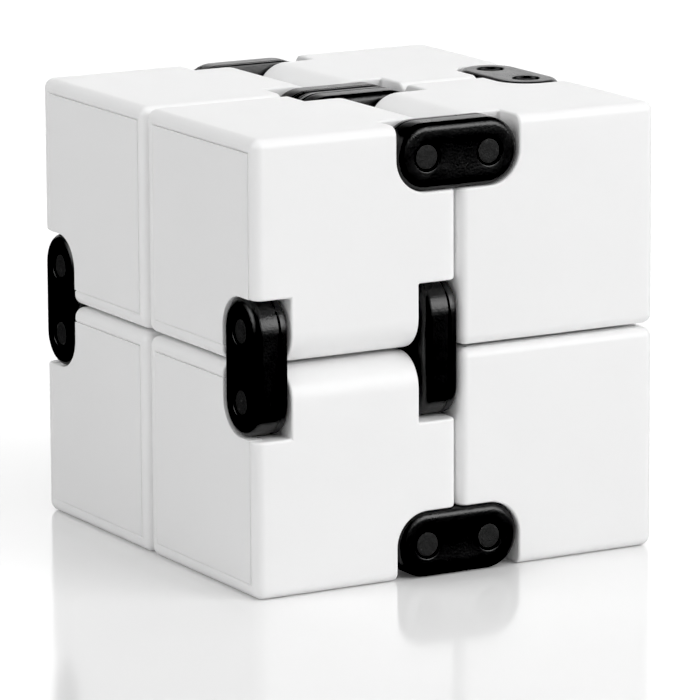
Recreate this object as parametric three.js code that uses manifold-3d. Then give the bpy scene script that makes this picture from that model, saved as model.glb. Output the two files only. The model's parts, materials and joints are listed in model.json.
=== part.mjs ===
// Folding "endless" cube, a pocket fidget toy: eight hollow cubelets in a closed ring,
// joined by eight double-pivot hinges. Each hinge is two link plates on two long steel pins.
// Millimetres, +Z up, +Y to the back, origin under the middle of the closed cube.
import * as THREE from 'three';
import { mergeVertices } from 'three/addons/utils/BufferGeometryUtils.js';
import Module from 'manifold-3d';

// ---- driving dimensions ----
const CUBE = 40;                 // edge of the closed cube
const SEAM = 0.3;                // gap between neighbouring cubelets
const PIN_INSET = 2.95;          // pin axis to both faces that meet at a hinge edge
const EDGE_RADIUS = 1.0;         // moulded rounding of a plain edge
const RELIEF_RADIUS = 2.6;       // rounding of the edges that roll past each other unhinged
const WALL = 2.0;                // shell wall
const CAP_INSET = 1.3;           // cap outline, in from the cubelet's sides
const CAP_THICKNESS = 1.3;
const FIT = 0.2;                 // gap round the cap and under it
const PLATE_THICKNESS = 3.15;
const PLATE_BEVEL = 0.5;
const PLATE_CLEARANCE = 0.25;    // plate to pocket wall
const OUTER_POCKET_DEPTH = 3.45; // at the end of a hinge edge that meets the cube's outside
const INNER_POCKET_DEPTH = 3.8;  // at the end that meets a seam
const PIN_RADIUS = 1.1;
const PIN_RECESS = 0.15;         // pin end below the plate's face
const PLATE_HOLE_RADIUS = 1.3;
const BORE_RADIUS = 1.3;         // pin bore in a cubelet
const PILLAR = 5.5;              // square of solid plastic left round a bore
const PILLAR_FOOT = 7.5;         // the same square at the pockets
const PILLAR_FOOT_HEIGHT = 5.3;
const HALF_PLATE_GAP = 0.6;      // between the halves of a parted link plate, so they can swing apart

// ---- worked out from them ----
const SIDE = (CUBE - SEAM) / 2;
const HALF = SIDE / 2;
const CENTRE = (SEAM + SIDE) / 2;            // cubelet centre, from the cube's mid-planes
const PIN_REACH = HALF - PIN_INSET;          // pin axis, from the cubelet's centre
const PIN_SPREAD = PIN_INSET + SEAM / 2;     // pin axis, from the seam's mid-plane
const HINGE_REACH = CUBE / 2 - PIN_INSET;    // pin axes, from the cube's centre
const POCKET_RADIUS = PIN_INSET + PLATE_CLEARANCE;
const CAP_SEAT = CAP_THICKNESS + FIT;
const PAST = 1;                              // how far a cutter runs past a face

const PLAIN = { radius: EDGE_RADIUS, steps: 2 };
const BARREL = { radius: PIN_INSET, steps: 6 };
const RELIEF = { radius: RELIEF_RADIUS, steps: 5 };
const ROUND_STEPS = 16;                      // facets round a pin or a bore
const QUARTER = Math.PI / 2;

const white = new THREE.MeshStandardMaterial({ color: 0xf2f2f0, roughness: 0.45 });
const black = new THREE.MeshStandardMaterial({ color: 0x0b0b0c, roughness: 0.4 });
const steel = new THREE.MeshStandardMaterial({ color: 0x2c2c2c, roughness: 0.5, metalness: 0.8 });

const wasm = await Module();
wasm.setup();

// ---- solids ----

function toSolid(geometry) {
  geometry.deleteAttribute('normal');
  geometry.deleteAttribute('uv');
  const merged = mergeVertices(geometry, 1e-5);
  return new wasm.Manifold(new wasm.Mesh({
    numProp: 3,
    vertProperties: new Float32Array(merged.attributes.position.array),
    triVerts: new Uint32Array(merged.index.array),
  }));
}

function toGeometry(solid) {
  const { vertProperties, triVerts } = solid.getMesh();
  const geometry = new THREE.BufferGeometry();
  geometry.setAttribute('position', new THREE.BufferAttribute(vertProperties, 3));
  geometry.setIndex(new THREE.BufferAttribute(triVerts, 1));
  geometry.computeVertexNormals();
  return geometry;
}

/** Turns a solid drawn along Z so that it lies along X or Y, the other two axes in X-Y-Z order. */
function turnTo(axis, geometry) {
  const basis = new THREE.Matrix4();
  const [x, y, z] = [new THREE.Vector3(1, 0, 0), new THREE.Vector3(0, 1, 0), new THREE.Vector3(0, 0, 1)];
  if (axis === 'x') basis.makeBasis(y, z, x);
  if (axis === 'y') basis.makeBasis(z, x, y);
  return geometry.applyMatrix4(basis);
}

/** The outline, pushed along an axis from one height to another. */
function prism(outline, axis, from, to) {
  const geometry = new THREE.ExtrudeGeometry(outline, { depth: to - from, bevelEnabled: false });
  return toSolid(turnTo(axis, geometry.translate(0, 0, from)));
}

/** A block between two opposite corners. */
function block(low, high) {
  const size = high.map((value, i) => value - low[i]);
  const geometry = new THREE.BoxGeometry(...size);
  return toSolid(geometry.translate(...low.map((value, i) => value + size[i] / 2)));
}

/** A square outline with each corner's own rounding, anticlockwise from (+, +). */
function roundedSquare(corners) {
  const signs = [[1, 1], [-1, 1], [-1, -1], [1, -1]];
  const points = corners.flatMap(({ radius, steps }, i) => {
    const middle = signs[i].map((sign) => sign * (HALF - radius));
    return arc(middle, radius, i * QUARTER, (i + 1) * QUARTER, steps);
  });
  return new THREE.Shape(points);
}

function arc([u, v], radius, from, to, steps) {
  return Array.from({ length: steps + 1 }, (_, k) => {
    const angle = from + (to - from) * k / steps;
    return new THREE.Vector2(u + radius * Math.cos(angle), v + radius * Math.sin(angle));
  });
}

// ---- cubelet ----
// Drawn once, about its own centre: the first hinge edge runs along Y at (+X, +Z), the second
// along X at (-Y, -Z), and the cap closes -X. hand -1 mirrors the second edge to (+Y, -Z).

const firstEdge = () => ({ axis: 'y', u: 1, v: 1 });             // u is Z, v is X
const secondEdge = (hand) => ({ axis: 'x', u: -hand, v: -1 });   // u is Y, v is Z

/** The pocket that a link plate turns in: round about the pin, open to both faces of the edge. */
function pocket({ axis, u, v }, end, outerEnd) {
  const depth = end === outerEnd ? OUTER_POCKET_DEPTH : INNER_POCKET_DEPTH;
  const open = PIN_INSET + PAST;
  const outline = new THREE.Shape([
    new THREE.Vector2(open, open),
    new THREE.Vector2(-POCKET_RADIUS, open),
    ...arc([0, 0], POCKET_RADIUS, 2 * QUARTER, 3 * QUARTER, 6),
    new THREE.Vector2(open, -POCKET_RADIUS),
  ].map((point) => new THREE.Vector2(u * (PIN_REACH + point.x), v * (PIN_REACH + point.y))));
  const floor = end * (HALF - depth);
  const mouth = end * (HALF + PAST);
  return prism(outline, axis, Math.min(floor, mouth), Math.max(floor, mouth));
}

/** The four pockets of a cubelet on the cube's left (side -1) or right (side 1). */
function pockets(hand, side) {
  return [-1, 1].flatMap((end) => [
    pocket(firstEdge(), end, side * hand),
    pocket(secondEdge(hand), end, side),
  ]);
}

function bore({ axis, u, v }) {
  const outline = new THREE.Shape(
    arc([u * PIN_REACH, v * PIN_REACH], BORE_RADIUS, 0, 4 * QUARTER, ROUND_STEPS).slice(1));
  return prism(outline, axis, -HALF - PAST, HALF + PAST);
}

/** Solid plastic left round a bore, wider at the pockets. */
function pillar({ axis, u, v }) {
  const square = (width, from, to) => {
    const inner = HALF - width;
    const outer = HALF + PAST;
    const outline = [[inner, inner], [outer, inner], [outer, outer], [inner, outer]];
    return prism(new THREE.Shape(outline.map(([a, b]) => new THREE.Vector2(u * a, v * b))), axis, from, to);
  };
  const reach = HALF + PAST;
  const foot = HALF - PILLAR_FOOT_HEIGHT;
  return square(PILLAR, -reach, reach)
    .add(square(PILLAR_FOOT, -reach, -foot))
    .add(square(PILLAR_FOOT, foot, reach));
}

/** The outer form: three crossed prisms, round where the hinge edges roll on each other. */
function blank(hand, side) {
  const second = hand > 0 ? [PLAIN, PLAIN, BARREL, PLAIN] : [PLAIN, PLAIN, PLAIN, BARREL];
  const relief = side > 0 ? RELIEF : PLAIN;
  const third = hand > 0 ? [PLAIN, relief, PLAIN, PLAIN] : [PLAIN, PLAIN, relief, PLAIN];
  return prism(roundedSquare([BARREL, PLAIN, PLAIN, PLAIN]), 'y', -HALF, HALF)
    .intersect(prism(roundedSquare(second), 'x', -HALF, HALF))
    .intersect(prism(roundedSquare(third), 'z', -HALF, HALF));
}

function shell(hand, side) {
  const first = firstEdge();
  const second = secondEdge(hand);
  const inside = HALF - WALL;
  const rim = HALF - CAP_INSET;
  const hollow = block([-HALF, -inside, -inside], [inside, inside, inside])
    .subtract(pillar(first)).subtract(pillar(second));
  const seat = block([-HALF - PAST, -rim, -rim], [-HALF + CAP_SEAT, rim, rim]);
  return [...pockets(hand, side), bore(first), bore(second), hollow, seat]
    .reduce((body, cutter) => body.subtract(cutter), blank(hand, side));
}

function cap(hand, side) {
  const edge = HALF - CAP_INSET - FIT;
  return block([-HALF, -edge, -edge], [-HALF + CAP_THICKNESS, edge, edge])
    .intersect(blank(hand, side)).subtract(pocket(secondEdge(hand), -1, side));
}

// ---- hinge ----
// Drawn about its own centre: pins along Z at (-X) and (+X), the cube's outside towards +Y.

function pinHole(side) {
  const circle = arc([side * PIN_SPREAD, 0], PLATE_HOLE_RADIUS, 0, 4 * QUARTER, ROUND_STEPS);
  return new THREE.Path(circle.slice(1));
}

function pushed(outline, end) {
  const geometry = new THREE.ExtrudeGeometry(outline, {
    depth: PLATE_THICKNESS - 2 * PLATE_BEVEL,
    bevelThickness: PLATE_BEVEL, bevelSize: PLATE_BEVEL, bevelOffset: -PLATE_BEVEL, bevelSegments: 1,
  });
  return geometry.translate(0, 0, PLATE_BEVEL + (end > 0 ? HALF - PLATE_THICKNESS : -HALF));
}

/** A whole link plate: two round ends and two pin holes. */
function plate(end) {
  const outline = new THREE.Shape([
    ...arc([PIN_SPREAD, 0], PIN_INSET, -QUARTER, QUARTER, 10),
    ...arc([-PIN_SPREAD, 0], PIN_INSET, QUARTER, 3 * QUARTER, 10),
  ]);
  outline.holes = [pinHole(-1), pinHole(1)];
  return pushed(outline, end);
}

/** Half a link plate, cut on the seam's mid-plane, where the ring of joints is opened. */
function halfPlate(end, side) {
  const middle = side > 0 ? 0 : 2 * QUARTER;
  const cut = side * HALF_PLATE_GAP / 2;
  const outline = new THREE.Shape([
    new THREE.Vector2(cut, -side * PIN_INSET),
    ...arc([side * PIN_SPREAD, 0], PIN_INSET, middle - QUARTER, middle + QUARTER, 10),
    new THREE.Vector2(cut, side * PIN_INSET),
  ]);
  outline.holes = [pinHole(side)];
  return pushed(outline, end);
}

function pin(side) {
  const chamfer = 0.15;
  const end = HALF - PIN_RECESS;
  const profile = [
    [0, -end], [PIN_RADIUS - chamfer, -end], [PIN_RADIUS, chamfer - end],
    [PIN_RADIUS, end - chamfer], [PIN_RADIUS - chamfer, end], [0, end],
  ].map(([r, z]) => new THREE.Vector2(r, z));
  const geometry = new THREE.LatheGeometry(profile, ROUND_STEPS);
  return geometry.rotateX(QUARTER).translate(side * PIN_SPREAD, 0, 0);
}

// ---- assembly ----

const cube = new THREE.Group();
cube.position.z = CUBE / 2;

function place(group, name, geometry, material) {
  const mesh = new THREE.Mesh(geometry, material);
  mesh.name = name;
  group.add(mesh);
}

/** A group whose X and Z axes point along the two given axes. */
function framed(xAxis, zAxis, position) {
  const group = new THREE.Group();
  const x = new THREE.Vector3(...xAxis);
  const z = new THREE.Vector3(...zAxis);
  group.setRotationFromMatrix(new THREE.Matrix4().makeBasis(x, z.clone().cross(x), z));
  group.position.set(...position);
  cube.add(group);
  return group;
}

for (const x of [-1, 1]) {
  for (const y of [-1, 1]) {
    for (const z of [-1, 1]) {
      const name = `${y < 0 ? 'front' : 'back'}_${z > 0 ? 'top' : 'bottom'}_${x < 0 ? 'left' : 'right'}`;
      const hand = x * y * z;
      const centre = [x, y, z].map((sign) => sign * CENTRE);
      const group = x < 0 ? framed([1, 0, 0], [0, 0, z], centre) : framed([0, 0, z], [-1, 0, 0], centre);
      place(group, `shell_${name}`, toGeometry(shell(hand, x)), white);
      place(group, `cap_${name}`, toGeometry(cap(hand, x)), white);
    }
  }
}

// Each hinge: the way its pins run, the way the cube's outside is, its place along the pins,
// and what its two pins are called, first the one towards outside x pins.
const HINGES = [
  { name: 'top_front', along: [0, 1, 0], out: [0, 0, 1], end: -1, pins: ['left', 'right'] },
  { name: 'top_back', along: [0, 1, 0], out: [0, 0, 1], end: 1, pins: ['left', 'right'] },
  { name: 'bottom_front', along: [0, 1, 0], out: [0, 0, -1], end: -1, pins: ['right', 'left'] },
  { name: 'bottom_back', along: [0, 1, 0], out: [0, 0, -1], end: 1, pins: ['right', 'left'] },
  { name: 'left_front', along: [1, 0, 0], out: [0, -1, 0], end: -1, pins: ['top', 'bottom'] },
  { name: 'left_back', along: [1, 0, 0], out: [0, 1, 0], end: -1, pins: ['bottom', 'top'] },
  { name: 'right_top', along: [0, 0, 1], out: [1, 0, 0], end: 1, pins: ['front', 'back'] },
  { name: 'right_bottom', along: [0, 0, 1], out: [1, 0, 0], end: -1, pins: ['front', 'back'], open: true },
];

for (const { name, along, out, end, pins, open } of HINGES) {
  const across = new THREE.Vector3(...out).cross(new THREE.Vector3(...along)).toArray();
  const centre = out.map((value, i) => value * HINGE_REACH + along[i] * end * CENTRE);
  const group = framed(across, along, centre);
  pins.forEach((pinName, i) => {
    const side = i === 0 ? 1 : -1;
    place(group, `pin_${name}_${pinName}`, pin(side), steel);
  });
  for (const plateEnd of [-1, 1]) {
    const where = plateEnd === end ? 'outer' : 'inner';
    if (open) {
      pins.forEach((pinName, i) => {
        place(group, `half_plate_${name}_${where}_${pinName}`, halfPlate(plateEnd, i === 0 ? 1 : -1), black);
      });
    } else {
      place(group, `plate_${name}_${where}`, plate(plateEnd), black);
    }
  }
}

export default cube;
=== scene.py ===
"""Looks of the folding cube: moulded white cubelets, black link plates and dark pins.

Every piece is drawn in millimetres about its own cubelet's or hinge's centre, then set down where
the frame says. It rides on the body of the CAD node that it replaces.
"""
import json
import math

import bmesh
import bpy
from mathutils import Matrix, Vector


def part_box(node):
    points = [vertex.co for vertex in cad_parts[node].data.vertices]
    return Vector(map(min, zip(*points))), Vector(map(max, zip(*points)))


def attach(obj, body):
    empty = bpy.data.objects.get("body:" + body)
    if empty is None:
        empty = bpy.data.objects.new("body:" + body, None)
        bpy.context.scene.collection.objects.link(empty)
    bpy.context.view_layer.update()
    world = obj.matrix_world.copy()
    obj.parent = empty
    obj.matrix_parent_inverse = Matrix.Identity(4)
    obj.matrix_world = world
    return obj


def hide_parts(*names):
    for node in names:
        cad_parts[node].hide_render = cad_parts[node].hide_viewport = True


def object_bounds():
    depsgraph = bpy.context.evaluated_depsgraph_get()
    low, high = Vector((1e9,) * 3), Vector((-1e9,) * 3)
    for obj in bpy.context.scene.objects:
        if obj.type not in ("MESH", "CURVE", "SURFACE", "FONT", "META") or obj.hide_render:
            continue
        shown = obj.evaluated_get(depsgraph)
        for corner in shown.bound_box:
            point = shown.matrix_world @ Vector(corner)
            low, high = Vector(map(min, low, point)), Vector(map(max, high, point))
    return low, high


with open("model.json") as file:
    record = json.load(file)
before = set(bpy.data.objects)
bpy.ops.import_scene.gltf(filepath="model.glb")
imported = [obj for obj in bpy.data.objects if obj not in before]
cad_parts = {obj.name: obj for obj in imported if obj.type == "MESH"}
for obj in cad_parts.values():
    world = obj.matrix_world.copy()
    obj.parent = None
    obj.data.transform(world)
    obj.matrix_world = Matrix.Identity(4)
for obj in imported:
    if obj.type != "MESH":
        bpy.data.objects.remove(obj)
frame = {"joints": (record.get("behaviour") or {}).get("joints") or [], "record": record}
cad_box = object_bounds()

MM = 0.001
QUARTER = math.pi / 2
FACE_OUT = 1.0                       # how far a cutter runs past a face, in mm
SOFTENED_ANGLE = 38                  # edges sharper than this many degrees are rounded

# ---- sizes read from the frame, in mm ----
JOINTS = {joint["name"]: joint for joint in frame["joints"]}
SHELL_LOW, SHELL_HIGH = (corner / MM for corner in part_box("shell_front_top_left"))
PLATE_LOW, PLATE_HIGH = (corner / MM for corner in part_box("plate_top_front_outer"))
CAP_LOW, CAP_HIGH = (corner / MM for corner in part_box("cap_front_top_left"))
PIN_LOW, PIN_HIGH = (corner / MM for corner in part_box("pin_top_front_left"))
CUBE = (cad_box[1] - cad_box[0]).z / MM
SIDE = (SHELL_HIGH - SHELL_LOW).z
HALF = SIDE / 2
SEAM = CUBE - 2 * SIDE
CENTRE = (SEAM + SIDE) / 2
PIN_INSET = CUBE - JOINTS["top_front_left_pivot"]["pos_m"][2] / MM
PIN_SPREAD = PIN_INSET + SEAM / 2
HINGE_REACH = CUBE / 2 - PIN_INSET
PLATE_THICKNESS = (PLATE_HIGH - PLATE_LOW).y
CAP_THICKNESS = (CAP_HIGH - CAP_LOW).x
PIN_RADIUS = (PIN_HIGH - PIN_LOW).x / 2
PIN_HALF_LENGTH = (PIN_HIGH - PIN_LOW).y / 2

# ---- fine detail of a cubelet, in mm ----
EDGE_RADIUS = 0.9                    # moulded rounding of a plain edge
POCKET_CLEARANCE = 0.06
OUTER_POCKET_DEPTH = PLATE_THICKNESS + 0.3
INNER_POCKET_DEPTH = PLATE_THICKNESS + 0.65
POCKET_LIP = 0.22                    # rounding of a pocket's rim
CAP_INSET = 1.3
CAP_GAP = 0.01
CAP_LIP = 0.07
WALL = 2.0
BORE_RADIUS = PIN_RADIUS + 0.1
PILLAR = 5.5                         # square of solid plastic left round a bore
PILLAR_FOOT = 7.5                    # the same square at the pockets
PILLAR_FOOT_HEIGHT = 5.3

# ---- fine detail of a hinge, in mm ----
PLATE_ROUND = 0.75                   # rounding of a plate's rim towards the cube's outside
PLATE_BACK_BEVEL = 0.25              # width and depth of its other rim
GROOVE_FROM_BACK = 0.78              # the parting groove round a plate
GROOVE_WIDTH = 0.12
PLATE_HOLE_RADIUS = 1.22
PLATE_HOLE_RIM = 0.14
HALF_PLATE_CUT = 0.02                # how far a half plate's cut lies from the seam's middle
PIN_CHAMFER = 0.08
PIN_DISH = 0.05                      # depth of the dish in a pin's end
PIN_DISH_RADIUS = 0.55


# ---- mesh helpers ----

def arc(centre, radius, start, stop, steps):
    """Points of an arc, both ends included."""
    angles = [start + (stop - start) * k / steps for k in range(steps + 1)]
    return [(centre[0] + radius * math.cos(a), centre[1] + radius * math.sin(a)) for a in angles]


def new_object(name, mesh):
    piece = bpy.data.objects.new(name, mesh)
    bpy.context.scene.collection.objects.link(piece)
    return piece


def from_bmesh(name, bm):
    mesh = bpy.data.meshes.new(name)
    bmesh.ops.recalc_face_normals(bm, faces=bm.faces[:])
    bm.to_mesh(mesh)
    bm.free()
    return new_object(name, mesh)


def turn_to(axis):
    """Turns a drawing along Z so that it lies along X or Y, the other two axes in X-Y-Z order."""
    if axis == "x":
        return Matrix(((0, 0, 1, 0), (1, 0, 0, 0), (0, 1, 0, 0), (0, 0, 0, 1)))
    if axis == "y":
        return Matrix(((0, 1, 0, 0), (0, 0, 1, 0), (1, 0, 0, 0), (0, 0, 0, 1)))
    return Matrix.Identity(4)


def prism(points, axis, low, high):
    """A closed solid: an outline pushed along an axis."""
    bm = bmesh.new()
    bottom = bm.faces.new([bm.verts.new((u, v, low)) for u, v in points])
    grown = bmesh.ops.extrude_face_region(bm, geom=[bottom])
    top = [item for item in grown["geom"] if isinstance(item, bmesh.types.BMVert)]
    bmesh.ops.translate(bm, verts=top, vec=(0, 0, high - low))
    bmesh.ops.transform(bm, matrix=turn_to(axis), verts=bm.verts[:])
    return from_bmesh("cutter", bm)


def block(low, high):
    bm = bmesh.new()
    bmesh.ops.create_cube(bm, size=1)
    middle = (Vector(low) + Vector(high)) / 2
    size = Vector(high) - Vector(low)
    bmesh.ops.transform(bm, verts=bm.verts[:],
                        matrix=Matrix.Translation(middle) @ Matrix.Diagonal((*size, 1)))
    return from_bmesh("cutter", bm)


def lathe(section, x, steps=48):
    """A closed solid turned about an upright axis at (x, 0)."""
    bm = bmesh.new()
    verts = [bm.verts.new((r, 0, z)) for r, z in section]
    edges = [bm.edges.new(pair) for pair in zip(verts, verts[1:])]
    bmesh.ops.spin(bm, geom=verts + edges, axis=(0, 0, 1), cent=(0, 0, 0),
                   angle=4 * QUARTER, steps=steps, use_merge=True)
    bmesh.ops.remove_doubles(bm, verts=bm.verts[:], dist=1e-5)
    bmesh.ops.translate(bm, verts=bm.verts[:], vec=(x, 0, 0))
    return from_bmesh("turned", bm)


def apply_modifiers(piece):
    """Makes the modified shape the piece's own mesh."""
    evaluated = piece.evaluated_get(bpy.context.evaluated_depsgraph_get())
    mesh = bpy.data.meshes.new_from_object(evaluated)
    piece.modifiers.clear()
    piece.data = mesh
    return piece


def cut(piece, cutters):
    """Cuts each cutter from the piece, one after the other, and removes the cutters."""
    for cutter in cutters:
        modifier = piece.modifiers.new("cut", "BOOLEAN")
        modifier.operation = "DIFFERENCE"
        modifier.solver = "EXACT"
        modifier.object = cutter
    apply_modifiers(piece)
    for cutter in cutters:
        bpy.data.objects.remove(cutter)
    return piece


def soften(piece, width, segments):
    """Rounds the sharp edges that are left, and shades the flats flat."""
    bevel = piece.modifiers.new("soften", "BEVEL")
    bevel.width = width
    bevel.segments = segments
    bevel.limit_method = "ANGLE"
    bevel.angle_limit = math.radians(SOFTENED_ANGLE)
    bevel.use_clamp_overlap = False
    bevel.harden_normals = True
    for polygon in piece.data.polygons:
        polygon.use_smooth = True
    return apply_modifiers(piece)


def smooth_by_angle(piece, degrees):
    piece.data.shade_smooth()
    piece.data.set_sharp_from_angle(angle=math.radians(degrees))
    return piece


# ---- cubelet ----
# Drawn about its own centre: the first hinge edge runs along Y at (+X, +Z), the second along X
# at (-Y, -Z), and the cap closes -X. hand -1 mirrors the second edge to (+Y, -Z).

FIRST_EDGE = "y", 1, 1


def second_edge(hand):
    return "x", -hand, -1


def blank(hand):
    """A cube with two widely rounded hinge edges and ten plain ones."""
    bm = bmesh.new()
    bmesh.ops.create_cube(bm, size=SIDE)
    weights = bm.edges.layers.float.new("bevel_weight_edge")
    for edge in bm.edges:
        middle = (edge.verts[0].co + edge.verts[1].co) / 2
        on_first = middle.x > 1 and middle.z > 1
        on_second = -hand * middle.y > 1 and middle.z < -1
        edge[weights] = 1 if on_first or on_second else EDGE_RADIUS / PIN_INSET
    piece = from_bmesh("cubelet", bm)
    bevel = piece.modifiers.new("round", "BEVEL")
    bevel.width = PIN_INSET
    bevel.segments = 12
    bevel.limit_method = "WEIGHT"
    bevel.use_clamp_overlap = False
    return apply_modifiers(piece)


def pocket(edge, end, outer_end):
    """The pocket that a link plate turns in, open to both faces of the hinge edge."""
    axis, u, v = edge
    depth = OUTER_POCKET_DEPTH if end == outer_end else INNER_POCKET_DEPTH
    open_side = PIN_INSET + FACE_OUT
    radius = PIN_INSET + POCKET_CLEARANCE
    outline = [(open_side, open_side), (-radius, open_side)]
    outline += arc((0, 0), radius, 2 * QUARTER, 3 * QUARTER, 16)
    outline += [(open_side, -radius)]
    reach = HALF - PIN_INSET
    points = [(u * (reach + a), v * (reach + b)) for a, b in outline]
    floor, mouth = end * (HALF - depth), end * (HALF + FACE_OUT)
    return prism(points, axis, min(floor, mouth), max(floor, mouth))


def bore(edge):
    axis, u, v = edge
    reach = HALF - PIN_INSET
    circle = arc((u * reach, v * reach), BORE_RADIUS, 0, 4 * QUARTER, 32)[1:]
    return prism(circle, axis, -HALF - FACE_OUT, HALF + FACE_OUT)


def pillar_square(edge, width, low, high):
    axis, u, v = edge
    near, far = HALF - width, HALF + FACE_OUT
    corners = [(near, near), (far, near), (far, far), (near, far)]
    return prism([(u * a, v * b) for a, b in corners], axis, low, high)


def hollow(hand):
    """The room inside a shell, less the pillars round its two bores."""
    inside = HALF - WALL
    reach, foot = HALF + FACE_OUT, HALF - PILLAR_FOOT_HEIGHT
    pillars = []
    for edge in (FIRST_EDGE, second_edge(hand)):
        pillars.append(pillar_square(edge, PILLAR, -reach, reach))
        pillars.append(pillar_square(edge, PILLAR_FOOT, -reach, -foot))
        pillars.append(pillar_square(edge, PILLAR_FOOT, foot, reach))
    return cut(block((-HALF, -inside, -inside), (inside, inside, inside)), pillars)


def shell(hand, side):
    """A cubelet's shell; side says which of the pocket ends are on the cube's outside."""
    second = second_edge(hand)
    piece = blank(hand)
    rim = HALF - CAP_INSET
    seat = block((-HALF - FACE_OUT, -rim, -rim), (-HALF + CAP_THICKNESS, rim, rim))
    pockets = [pocket(FIRST_EDGE, end, side * hand) for end in (-1, 1)]
    pockets += [pocket(second, end, side) for end in (-1, 1)]
    cut(piece, [*pockets, seat])
    soften(piece, POCKET_LIP, 3)
    return cut(piece, [bore(FIRST_EDGE), bore(second), hollow(hand)])


def cap(hand, side):
    """The flush panel that closes a shell."""
    edge = HALF - CAP_INSET - CAP_GAP
    piece = block((-HALF, -edge, -edge), (-HALF + CAP_THICKNESS - CAP_GAP, edge, edge))
    cut(piece, [pocket(second_edge(hand), -1, side)])
    return soften(piece, CAP_LIP, 2)


# ---- hinge ----
# Drawn about its own centre: pins along Z at (-X) and (+X), the cube's outside towards +Y.

def plate_outline(inset, side=0):
    """A link plate's outline, or with side 1 or -1 the half that goes with one pin."""
    radius = PIN_INSET - inset
    if side == 0:
        return (arc((PIN_SPREAD, 0), radius, -QUARTER, QUARTER, 32)
                + arc((-PIN_SPREAD, 0), radius, QUARTER, 3 * QUARTER, 32))
    middle = 0 if side > 0 else 2 * QUARTER
    cut_at = side * HALF_PLATE_CUT
    return ([(cut_at, -side * radius)]
            + arc((side * PIN_SPREAD, 0), radius, middle - QUARTER, middle + QUARTER, 32)
            + [(cut_at, side * radius)])


def rounded_rim(start, radius, steps):
    """A quarter round from a face down to a side that lies at start, as (distance, depth)."""
    angles = [QUARTER * k / steps for k in range(steps + 1)]
    return [(start + radius * (1 - math.sin(a)), radius * (1 - math.cos(a))) for a in angles]


def plate_section(outer):
    """The plate's edge from its face to its back, as (inset, depth).

    All plates are one moulding with its rounder rim towards the cube's outside, so an inner plate
    has its parting groove near its face.
    """
    middle, groove, bevel = PLATE_THICKNESS - GROOVE_FROM_BACK, GROOVE_WIDTH, PLATE_BACK_BEVEL
    section = rounded_rim(0, PLATE_ROUND, 8)
    section += [(0, middle - groove), (groove * 0.35, middle - groove * 0.5), (groove, middle),
                (groove * 0.35, middle + groove * 0.5), (0, middle + groove)]
    section += [(0, PLATE_THICKNESS - bevel), (0.08, PLATE_THICKNESS - 0.07), (bevel, PLATE_THICKNESS)]
    if outer:
        return section
    return [(inset, PLATE_THICKNESS - depth) for inset, depth in reversed(section)]


def hole_cutter(x, end):
    """The cutter of a plain hole with a rounded rim on the plate's face."""
    mouth = PLATE_HOLE_RADIUS + PLATE_HOLE_RIM + 0.02
    section = [(0, -0.5), (mouth, -0.5), (mouth, -0.001)]
    section += rounded_rim(PLATE_HOLE_RADIUS, PLATE_HOLE_RIM, 6)
    section += [(PLATE_HOLE_RADIUS, PLATE_THICKNESS + 0.5), (0, PLATE_THICKNESS + 0.5)]
    return lathe([(r, end * (HALF - depth)) for r, depth in section], x)


def plate(end, outer, side):
    """A link plate at one end of the pins, whole with side 0, else the half with one pin."""
    bm = bmesh.new()
    rings = [[bm.verts.new((u, v, end * (HALF - depth))) for u, v in plate_outline(inset, side)]
             for inset, depth in plate_section(outer)]
    for ring, next_ring in zip(rings, rings[1:]):
        for k in range(len(ring)):
            after = (k + 1) % len(ring)
            bm.faces.new((ring[k], ring[after], next_ring[after], next_ring[k]))
    bm.faces.new(rings[0])
    bm.faces.new(rings[-1])
    piece = from_bmesh("plate", bm)
    sides = (-1, 1) if side == 0 else (side,)
    cut(piece, [hole_cutter(s * PIN_SPREAD, end) for s in sides])
    return smooth_by_angle(piece, 32)


def pin(side):
    """A rod with a small chamfer and a faintly dished end."""
    end, edge = PIN_HALF_LENGTH, PIN_CHAMFER
    top = [(0, end - PIN_DISH), (PIN_DISH_RADIUS, end - 0.6 * PIN_DISH), (PIN_RADIUS - edge, end),
           (PIN_RADIUS - 0.3 * edge, end - 0.3 * edge), (PIN_RADIUS, end - edge)]
    section = top + [(r, -z) for r, z in reversed(top)]
    return smooth_by_angle(lathe(section, side * PIN_SPREAD), 50)


# ---- materials ----

class Nodes:
    """A short way to wire a material's nodes."""

    def __init__(self, name):
        self.material = bpy.data.materials.new(name)
        self.material.use_nodes = True
        self.tree = self.material.node_tree
        self.shader = self.tree.nodes["Principled BSDF"]
        self.place = self.add("ShaderNodeTexCoord").outputs["Object"]

    def add(self, kind, inputs=None, **settings):
        node = self.tree.nodes.new(kind)
        for key, value in settings.items():
            setattr(node, key, value)
        for key, value in (inputs or {}).items():
            if isinstance(value, bpy.types.NodeSocket):
                self.tree.links.new(value, node.inputs[key])
            else:
                node.inputs[key].default_value = value
        return node

    def noise(self, per_mm, detail=3.0, roughness=0.5):
        node = self.add("ShaderNodeTexNoise", {"Vector": self.place, "Scale": per_mm / MM,
                                               "Detail": detail, "Roughness": roughness})
        return node.outputs["Fac"]

    def ramp(self, value, low, high, from_low=0.3, from_high=0.7):
        node = self.add("ShaderNodeMapRange", {"Value": value, "From Min": from_low,
                                               "From Max": from_high, "To Min": low, "To Max": high})
        return node.outputs["Result"]

    def mix(self, factor, first, second):
        node = self.add("ShaderNodeMix", {"Factor": factor}, data_type="RGBA")
        for socket, colour in zip([s for s in node.inputs if s.type == "RGBA"], (first, second)):
            socket.default_value = (*colour, 1)
        return next(s for s in node.outputs if s.type == "RGBA")

    def bump(self, height, distance_mm, strength=1.0, below=None):
        inputs = {"Height": height, "Distance": distance_mm * MM, "Strength": strength}
        if below is not None:
            inputs["Normal"] = below
        return self.add("ShaderNodeBump", inputs).outputs["Normal"]

    def link(self, output, socket):
        self.tree.links.new(output, self.shader.inputs[socket])


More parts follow.
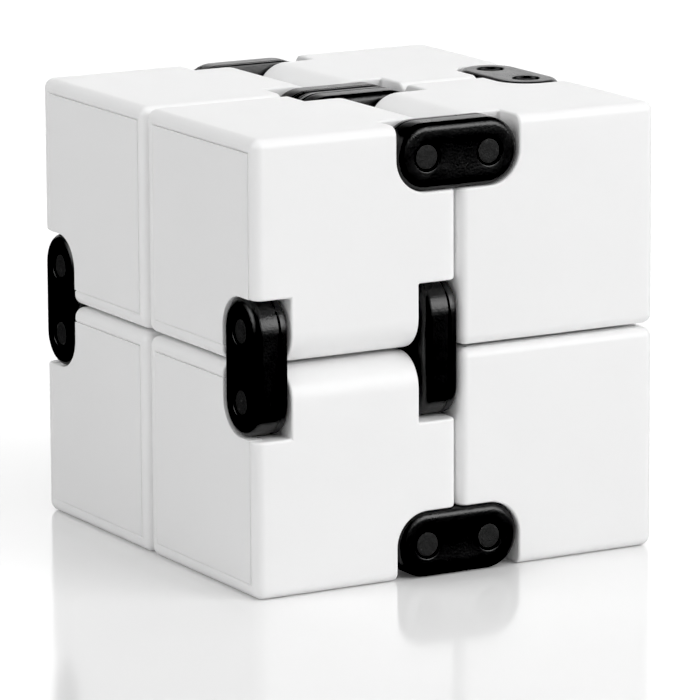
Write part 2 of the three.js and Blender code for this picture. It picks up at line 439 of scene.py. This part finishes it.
def white_plastic(name, tint):
    """Satin white ABS: a fine moulded grain, faint flow marks and a few handling smears."""
    n = Nodes(name)
    flow = n.noise(0.07, 2)
    grain = n.noise(9.0, 4, 0.65)
    smear = n.noise(0.35, 5, 0.6)
    n.link(n.mix(n.ramp(flow, 0, 1), tint, tuple(c * 0.98 for c in tint)), "Base Color")
    n.link(n.ramp(smear, 0.36, 0.46), "Roughness")
    waviness = n.bump(flow, 0.05, 0.5)
    n.link(n.bump(grain, 0.004, 0.6, waviness), "Normal")
    n.shader.inputs["Subsurface Weight"].default_value = 0.35
    n.shader.inputs["Subsurface Radius"].default_value = (1, 1, 1)
    n.shader.inputs["Subsurface Scale"].default_value = 0.4 * MM
    return n.material


def black_plastic(name):
    """Semi-gloss black plastic with the fine bead texture of a spark-eroded mould."""
    n = Nodes(name)
    bead = n.noise(4.5, 3, 0.6)
    patch = n.noise(0.6, 3)
    n.link(n.mix(n.ramp(patch, 0, 1), (0.0020, 0.0020, 0.0021), (0.0035, 0.0035, 0.0037)), "Base Color")
    n.link(n.ramp(patch, 0.27, 0.31), "Roughness")
    n.link(n.bump(bead, 0.03, 0.8), "Normal")
    n.shader.inputs["Specular IOR Level"].default_value = 0.6
    return n.material


def dark_steel(name):
    """Blackened steel, finely pitted, with small bright specks painted into its colour as glints."""
    n = Nodes(name)
    pitting = n.noise(2.6, 5, 0.7)
    # painted glints: bright specks in the base colour that stand in for glints on the pin ends
    painted_glint = n.ramp(n.noise(2.2, 6, 0.75), 0, 1, 0.60, 0.72)
    n.link(n.mix(painted_glint, (0.030, 0.030, 0.030), (0.16, 0.158, 0.155)), "Base Color")
    n.link(n.ramp(pitting, 0.42, 0.68), "Roughness")
    n.link(n.bump(pitting, 0.12, 1.0), "Normal")
    n.shader.inputs["Metallic"].default_value = 0.5
    n.shader.inputs["Specular IOR Level"].default_value = 0.4
    return n.material


SHELL_WHITE = white_plastic("shell_white", (0.955, 0.955, 0.955))
CAP_WHITE = white_plastic("cap_white", (0.95, 0.95, 0.95))
LINK_BLACK = black_plastic("link_black")
PIN_STEEL = dark_steel("pin_dark_steel")


# ---- setting the pieces down ----

def framed(x_axis, z_axis, centre):
    """From a local drawing in mm to the row frame in metres."""
    x, z = Vector(x_axis), Vector(z_axis)
    y = z.cross(x)
    turn = Matrix((x, y, z)).transposed().to_4x4()
    lifted = Vector(centre) + Vector((0, 0, CUBE / 2))
    return Matrix.Scale(MM, 4) @ Matrix.Translation(lifted) @ turn


def body_with(node):
    return next(body for body, nodes in frame["record"]["behaviour"]["bodies"].items() if node in nodes)


def set_down(drawing, node, matrix, material):
    """A copy of the drawing that stands for one CAD node."""
    piece = new_object(f"{node}_visual", drawing.data.copy())
    piece.data.transform(matrix)
    piece.data.materials.clear()
    piece.data.materials.append(material)
    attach(piece, body_with(node))
    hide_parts(node)
    return piece


def build_cubelets():
    kinds = [(hand, side) for hand in (-1, 1) for side in (-1, 1)]
    shells = {kind: shell(*kind) for kind in kinds}
    caps = {kind: cap(*kind) for kind in kinds}
    for x in (-1, 1):
        for y in (-1, 1):
            for z in (-1, 1):
                name = "_".join(("front" if y < 0 else "back", "top" if z > 0 else "bottom",
                                 "left" if x < 0 else "right"))
                centre = [sign * CENTRE for sign in (x, y, z)]
                axes = ((1, 0, 0), (0, 0, z)) if x < 0 else ((0, 0, z), (-1, 0, 0))
                matrix = framed(*axes, centre)
                kind = (x * y * z, x)
                set_down(shells[kind], f"shell_{name}", matrix, SHELL_WHITE)
                set_down(caps[kind], f"cap_{name}", matrix, CAP_WHITE)
    return [*shells.values(), *caps.values()]


# Each hinge: the way its pins run, the way the cube's outside is, its place along the pins, and
# what its two pins are called, first the one towards outside x pins.
HINGES = (
    ("top_front", (0, 1, 0), (0, 0, 1), -1, ("left", "right")),
    ("top_back", (0, 1, 0), (0, 0, 1), 1, ("left", "right")),
    ("bottom_front", (0, 1, 0), (0, 0, -1), -1, ("right", "left")),
    ("bottom_back", (0, 1, 0), (0, 0, -1), 1, ("right", "left")),
    ("left_front", (1, 0, 0), (0, -1, 0), -1, ("top", "bottom")),
    ("left_back", (1, 0, 0), (0, 1, 0), -1, ("bottom", "top")),
    ("right_top", (0, 0, 1), (1, 0, 0), 1, ("front", "back")),
    ("right_bottom", (0, 0, 1), (1, 0, 0), -1, ("front", "back")),
)


def build_hinges():
    plates = {(end, outer, side): plate(end, outer, side)
              for end in (-1, 1) for outer in (False, True) for side in (-1, 0, 1)}
    pins = {side: pin(side) for side in (-1, 1)}
    for name, along, out, end, pin_names in HINGES:
        across = Vector(out).cross(Vector(along))
        centre = Vector(out) * HINGE_REACH + Vector(along) * end * CENTRE
        matrix = framed(across, along, centre)
        for side, pin_name in zip((1, -1), pin_names):
            set_down(pins[side], f"pin_{name}_{pin_name}", matrix, PIN_STEEL)
        for where, outer, plate_end in (("outer", True, end), ("inner", False, -end)):
            if name == "right_bottom":
                for side, pin_name in zip((1, -1), pin_names):
                    set_down(plates[plate_end, outer, side], f"half_plate_{name}_{where}_{pin_name}",
                             matrix, LINK_BLACK)
            else:
                set_down(plates[plate_end, outer, 0], f"plate_{name}_{where}", matrix, LINK_BLACK)
    return [*plates.values(), *pins.values()]


for drawing in build_cubelets() + build_hinges():
    bpy.data.objects.remove(drawing)


# ---- studio ----

MIDDLE = Vector((0, 0, CUBE / 2 * MM))
# Fitted to the photo: azimuth, elevation and roll in degrees, the lens and its sensor in mm, the
# distance in metres, and the shift as a share of the picture's width.
CAMERA_ANGLES = -29.5, 11.4, 0.28
CAMERA_FOCAL = 284.8
CAMERA_SENSOR = 36
CAMERA_DISTANCE = 0.4958
CAMERA_SHIFT = 5.1 / 700, -40.4 / 700
BLACK_LEVEL = 0.007

def build_floor():
    """A wide, pale, glossy acrylic tabletop, faintly lit from below."""
    bm = bmesh.new()
    bmesh.ops.create_circle(bm, cap_ends=True, segments=64, radius=6)
    floor = from_bmesh("floor", bm)
    n = Nodes("floor_white")
    n.link(n.mix(n.ramp(n.noise(0.02, 2), 0, 1), (0.89, 0.89, 0.89), (0.87, 0.87, 0.87)), "Base Color")
    n.shader.inputs["Roughness"].default_value = 0.12
    n.shader.inputs["IOR"].default_value = 1.6
    n.shader.inputs["Emission Color"].default_value = (1, 1, 1, 1)
    n.shader.inputs["Emission Strength"].default_value = 0.03
    floor.data.materials.append(n.material)
    floor.visible_glossy = False     # no piece mirrors the floor, which keeps the links black


def add_light(name, place, size, watts, mirrored=True):
    """A softbox that faces the cube. One that isn't mirrored still lights every surface."""
    data = bpy.data.lights.new(name, "AREA")
    data.shape = "RECTANGLE"
    data.size, data.size_y = size
    data.energy = watts
    light = bpy.data.objects.new(name, data)
    bpy.context.scene.collection.objects.link(light)
    light.location = place
    aim = MIDDLE - light.location
    light.rotation_euler = aim.to_track_quat("-Z", "Y").to_euler()
    light.visible_glossy = mirrored


def towards(azimuth, elevation, distance):
    """A place round the cube: azimuth 0 is in front of it, 90 to its right."""
    a, e = math.radians(azimuth), math.radians(elevation)
    return (distance * math.sin(a) * math.cos(e), -distance * math.cos(a) * math.cos(e),
            distance * math.sin(e))


def build_lights():
    """The lamps: a name, a place in degrees and metres, a size in metres, and watts."""
    add_light("overhead_softbox", towards(15, 78, 2), (2.4, 2.4), 23.3, mirrored=False)
    add_light("front_softbox", towards(35, 25, 2), (1.5, 1.1), 22.3)
    add_light("left_fill", towards(-98, 25, 2), (1.2, 1.2), 13.6)
    add_light("backdrop_panel", towards(150.5, 12, 3), (3.4, 0.8), 13.5)
    build_surround()


def build_surround():
    """An evenly grey room, with nothing bright under the table.

    No surface mirrors it, as if black flags stood round the set.
    """
    world = bpy.data.worlds.new("studio")
    bpy.context.scene.world = world
    world.use_nodes = True
    nodes, links = world.node_tree.nodes, world.node_tree.links
    direction = nodes.new("ShaderNodeTexCoord").outputs["Generated"]
    height = nodes.new("ShaderNodeSeparateXYZ")
    links.new(direction, height.inputs[0])
    room = nodes.new("ShaderNodeMapRange")
    links.new(height.outputs["Z"], room.inputs["Value"])
    for name, value in (("From Min", -0.01), ("From Max", 0.01), ("To Min", 0.0), ("To Max", 0.2)):
        room.inputs[name].default_value = value
    world.cycles_visibility.glossy = False
    background = nodes["Background"]
    background.inputs["Color"].default_value = (1, 1, 1, 1)
    links.new(room.outputs["Result"], background.inputs["Strength"])


def build_camera():
    """A long lens, low and to the left of the front face."""
    azimuth, elevation, roll = (math.radians(angle) for angle in CAMERA_ANGLES)
    camera = bpy.data.objects.new("camera", bpy.data.cameras.new("camera"))
    bpy.context.scene.collection.objects.link(camera)
    bpy.context.scene.camera = camera
    camera.data.lens = CAMERA_FOCAL
    camera.data.sensor_width = CAMERA_SENSOR
    back = Vector((math.sin(azimuth) * math.cos(elevation), -math.cos(azimuth) * math.cos(elevation),
                   math.sin(elevation)))
    camera.location = MIDDLE + back * CAMERA_DISTANCE
    turn = (-back).to_track_quat("-Z", "Y").to_matrix().to_4x4()
    camera.matrix_world = Matrix.Translation(camera.location) @ turn @ Matrix.Rotation(-roll, 4, "Z")
    camera.data.shift_x, camera.data.shift_y = CAMERA_SHIFT
    camera.data.clip_start, camera.data.clip_end = 0.01, 50


def build_view():
    """Plain colours, with a slightly deeper black."""
    view = bpy.context.scene.view_settings
    view.view_transform = "Standard"
    view.use_curve_mapping = True
    view.curve_mapping.black_level = (BLACK_LEVEL, BLACK_LEVEL, BLACK_LEVEL)
    view.curve_mapping.update()


build_floor()
build_lights()
build_camera()
build_view()
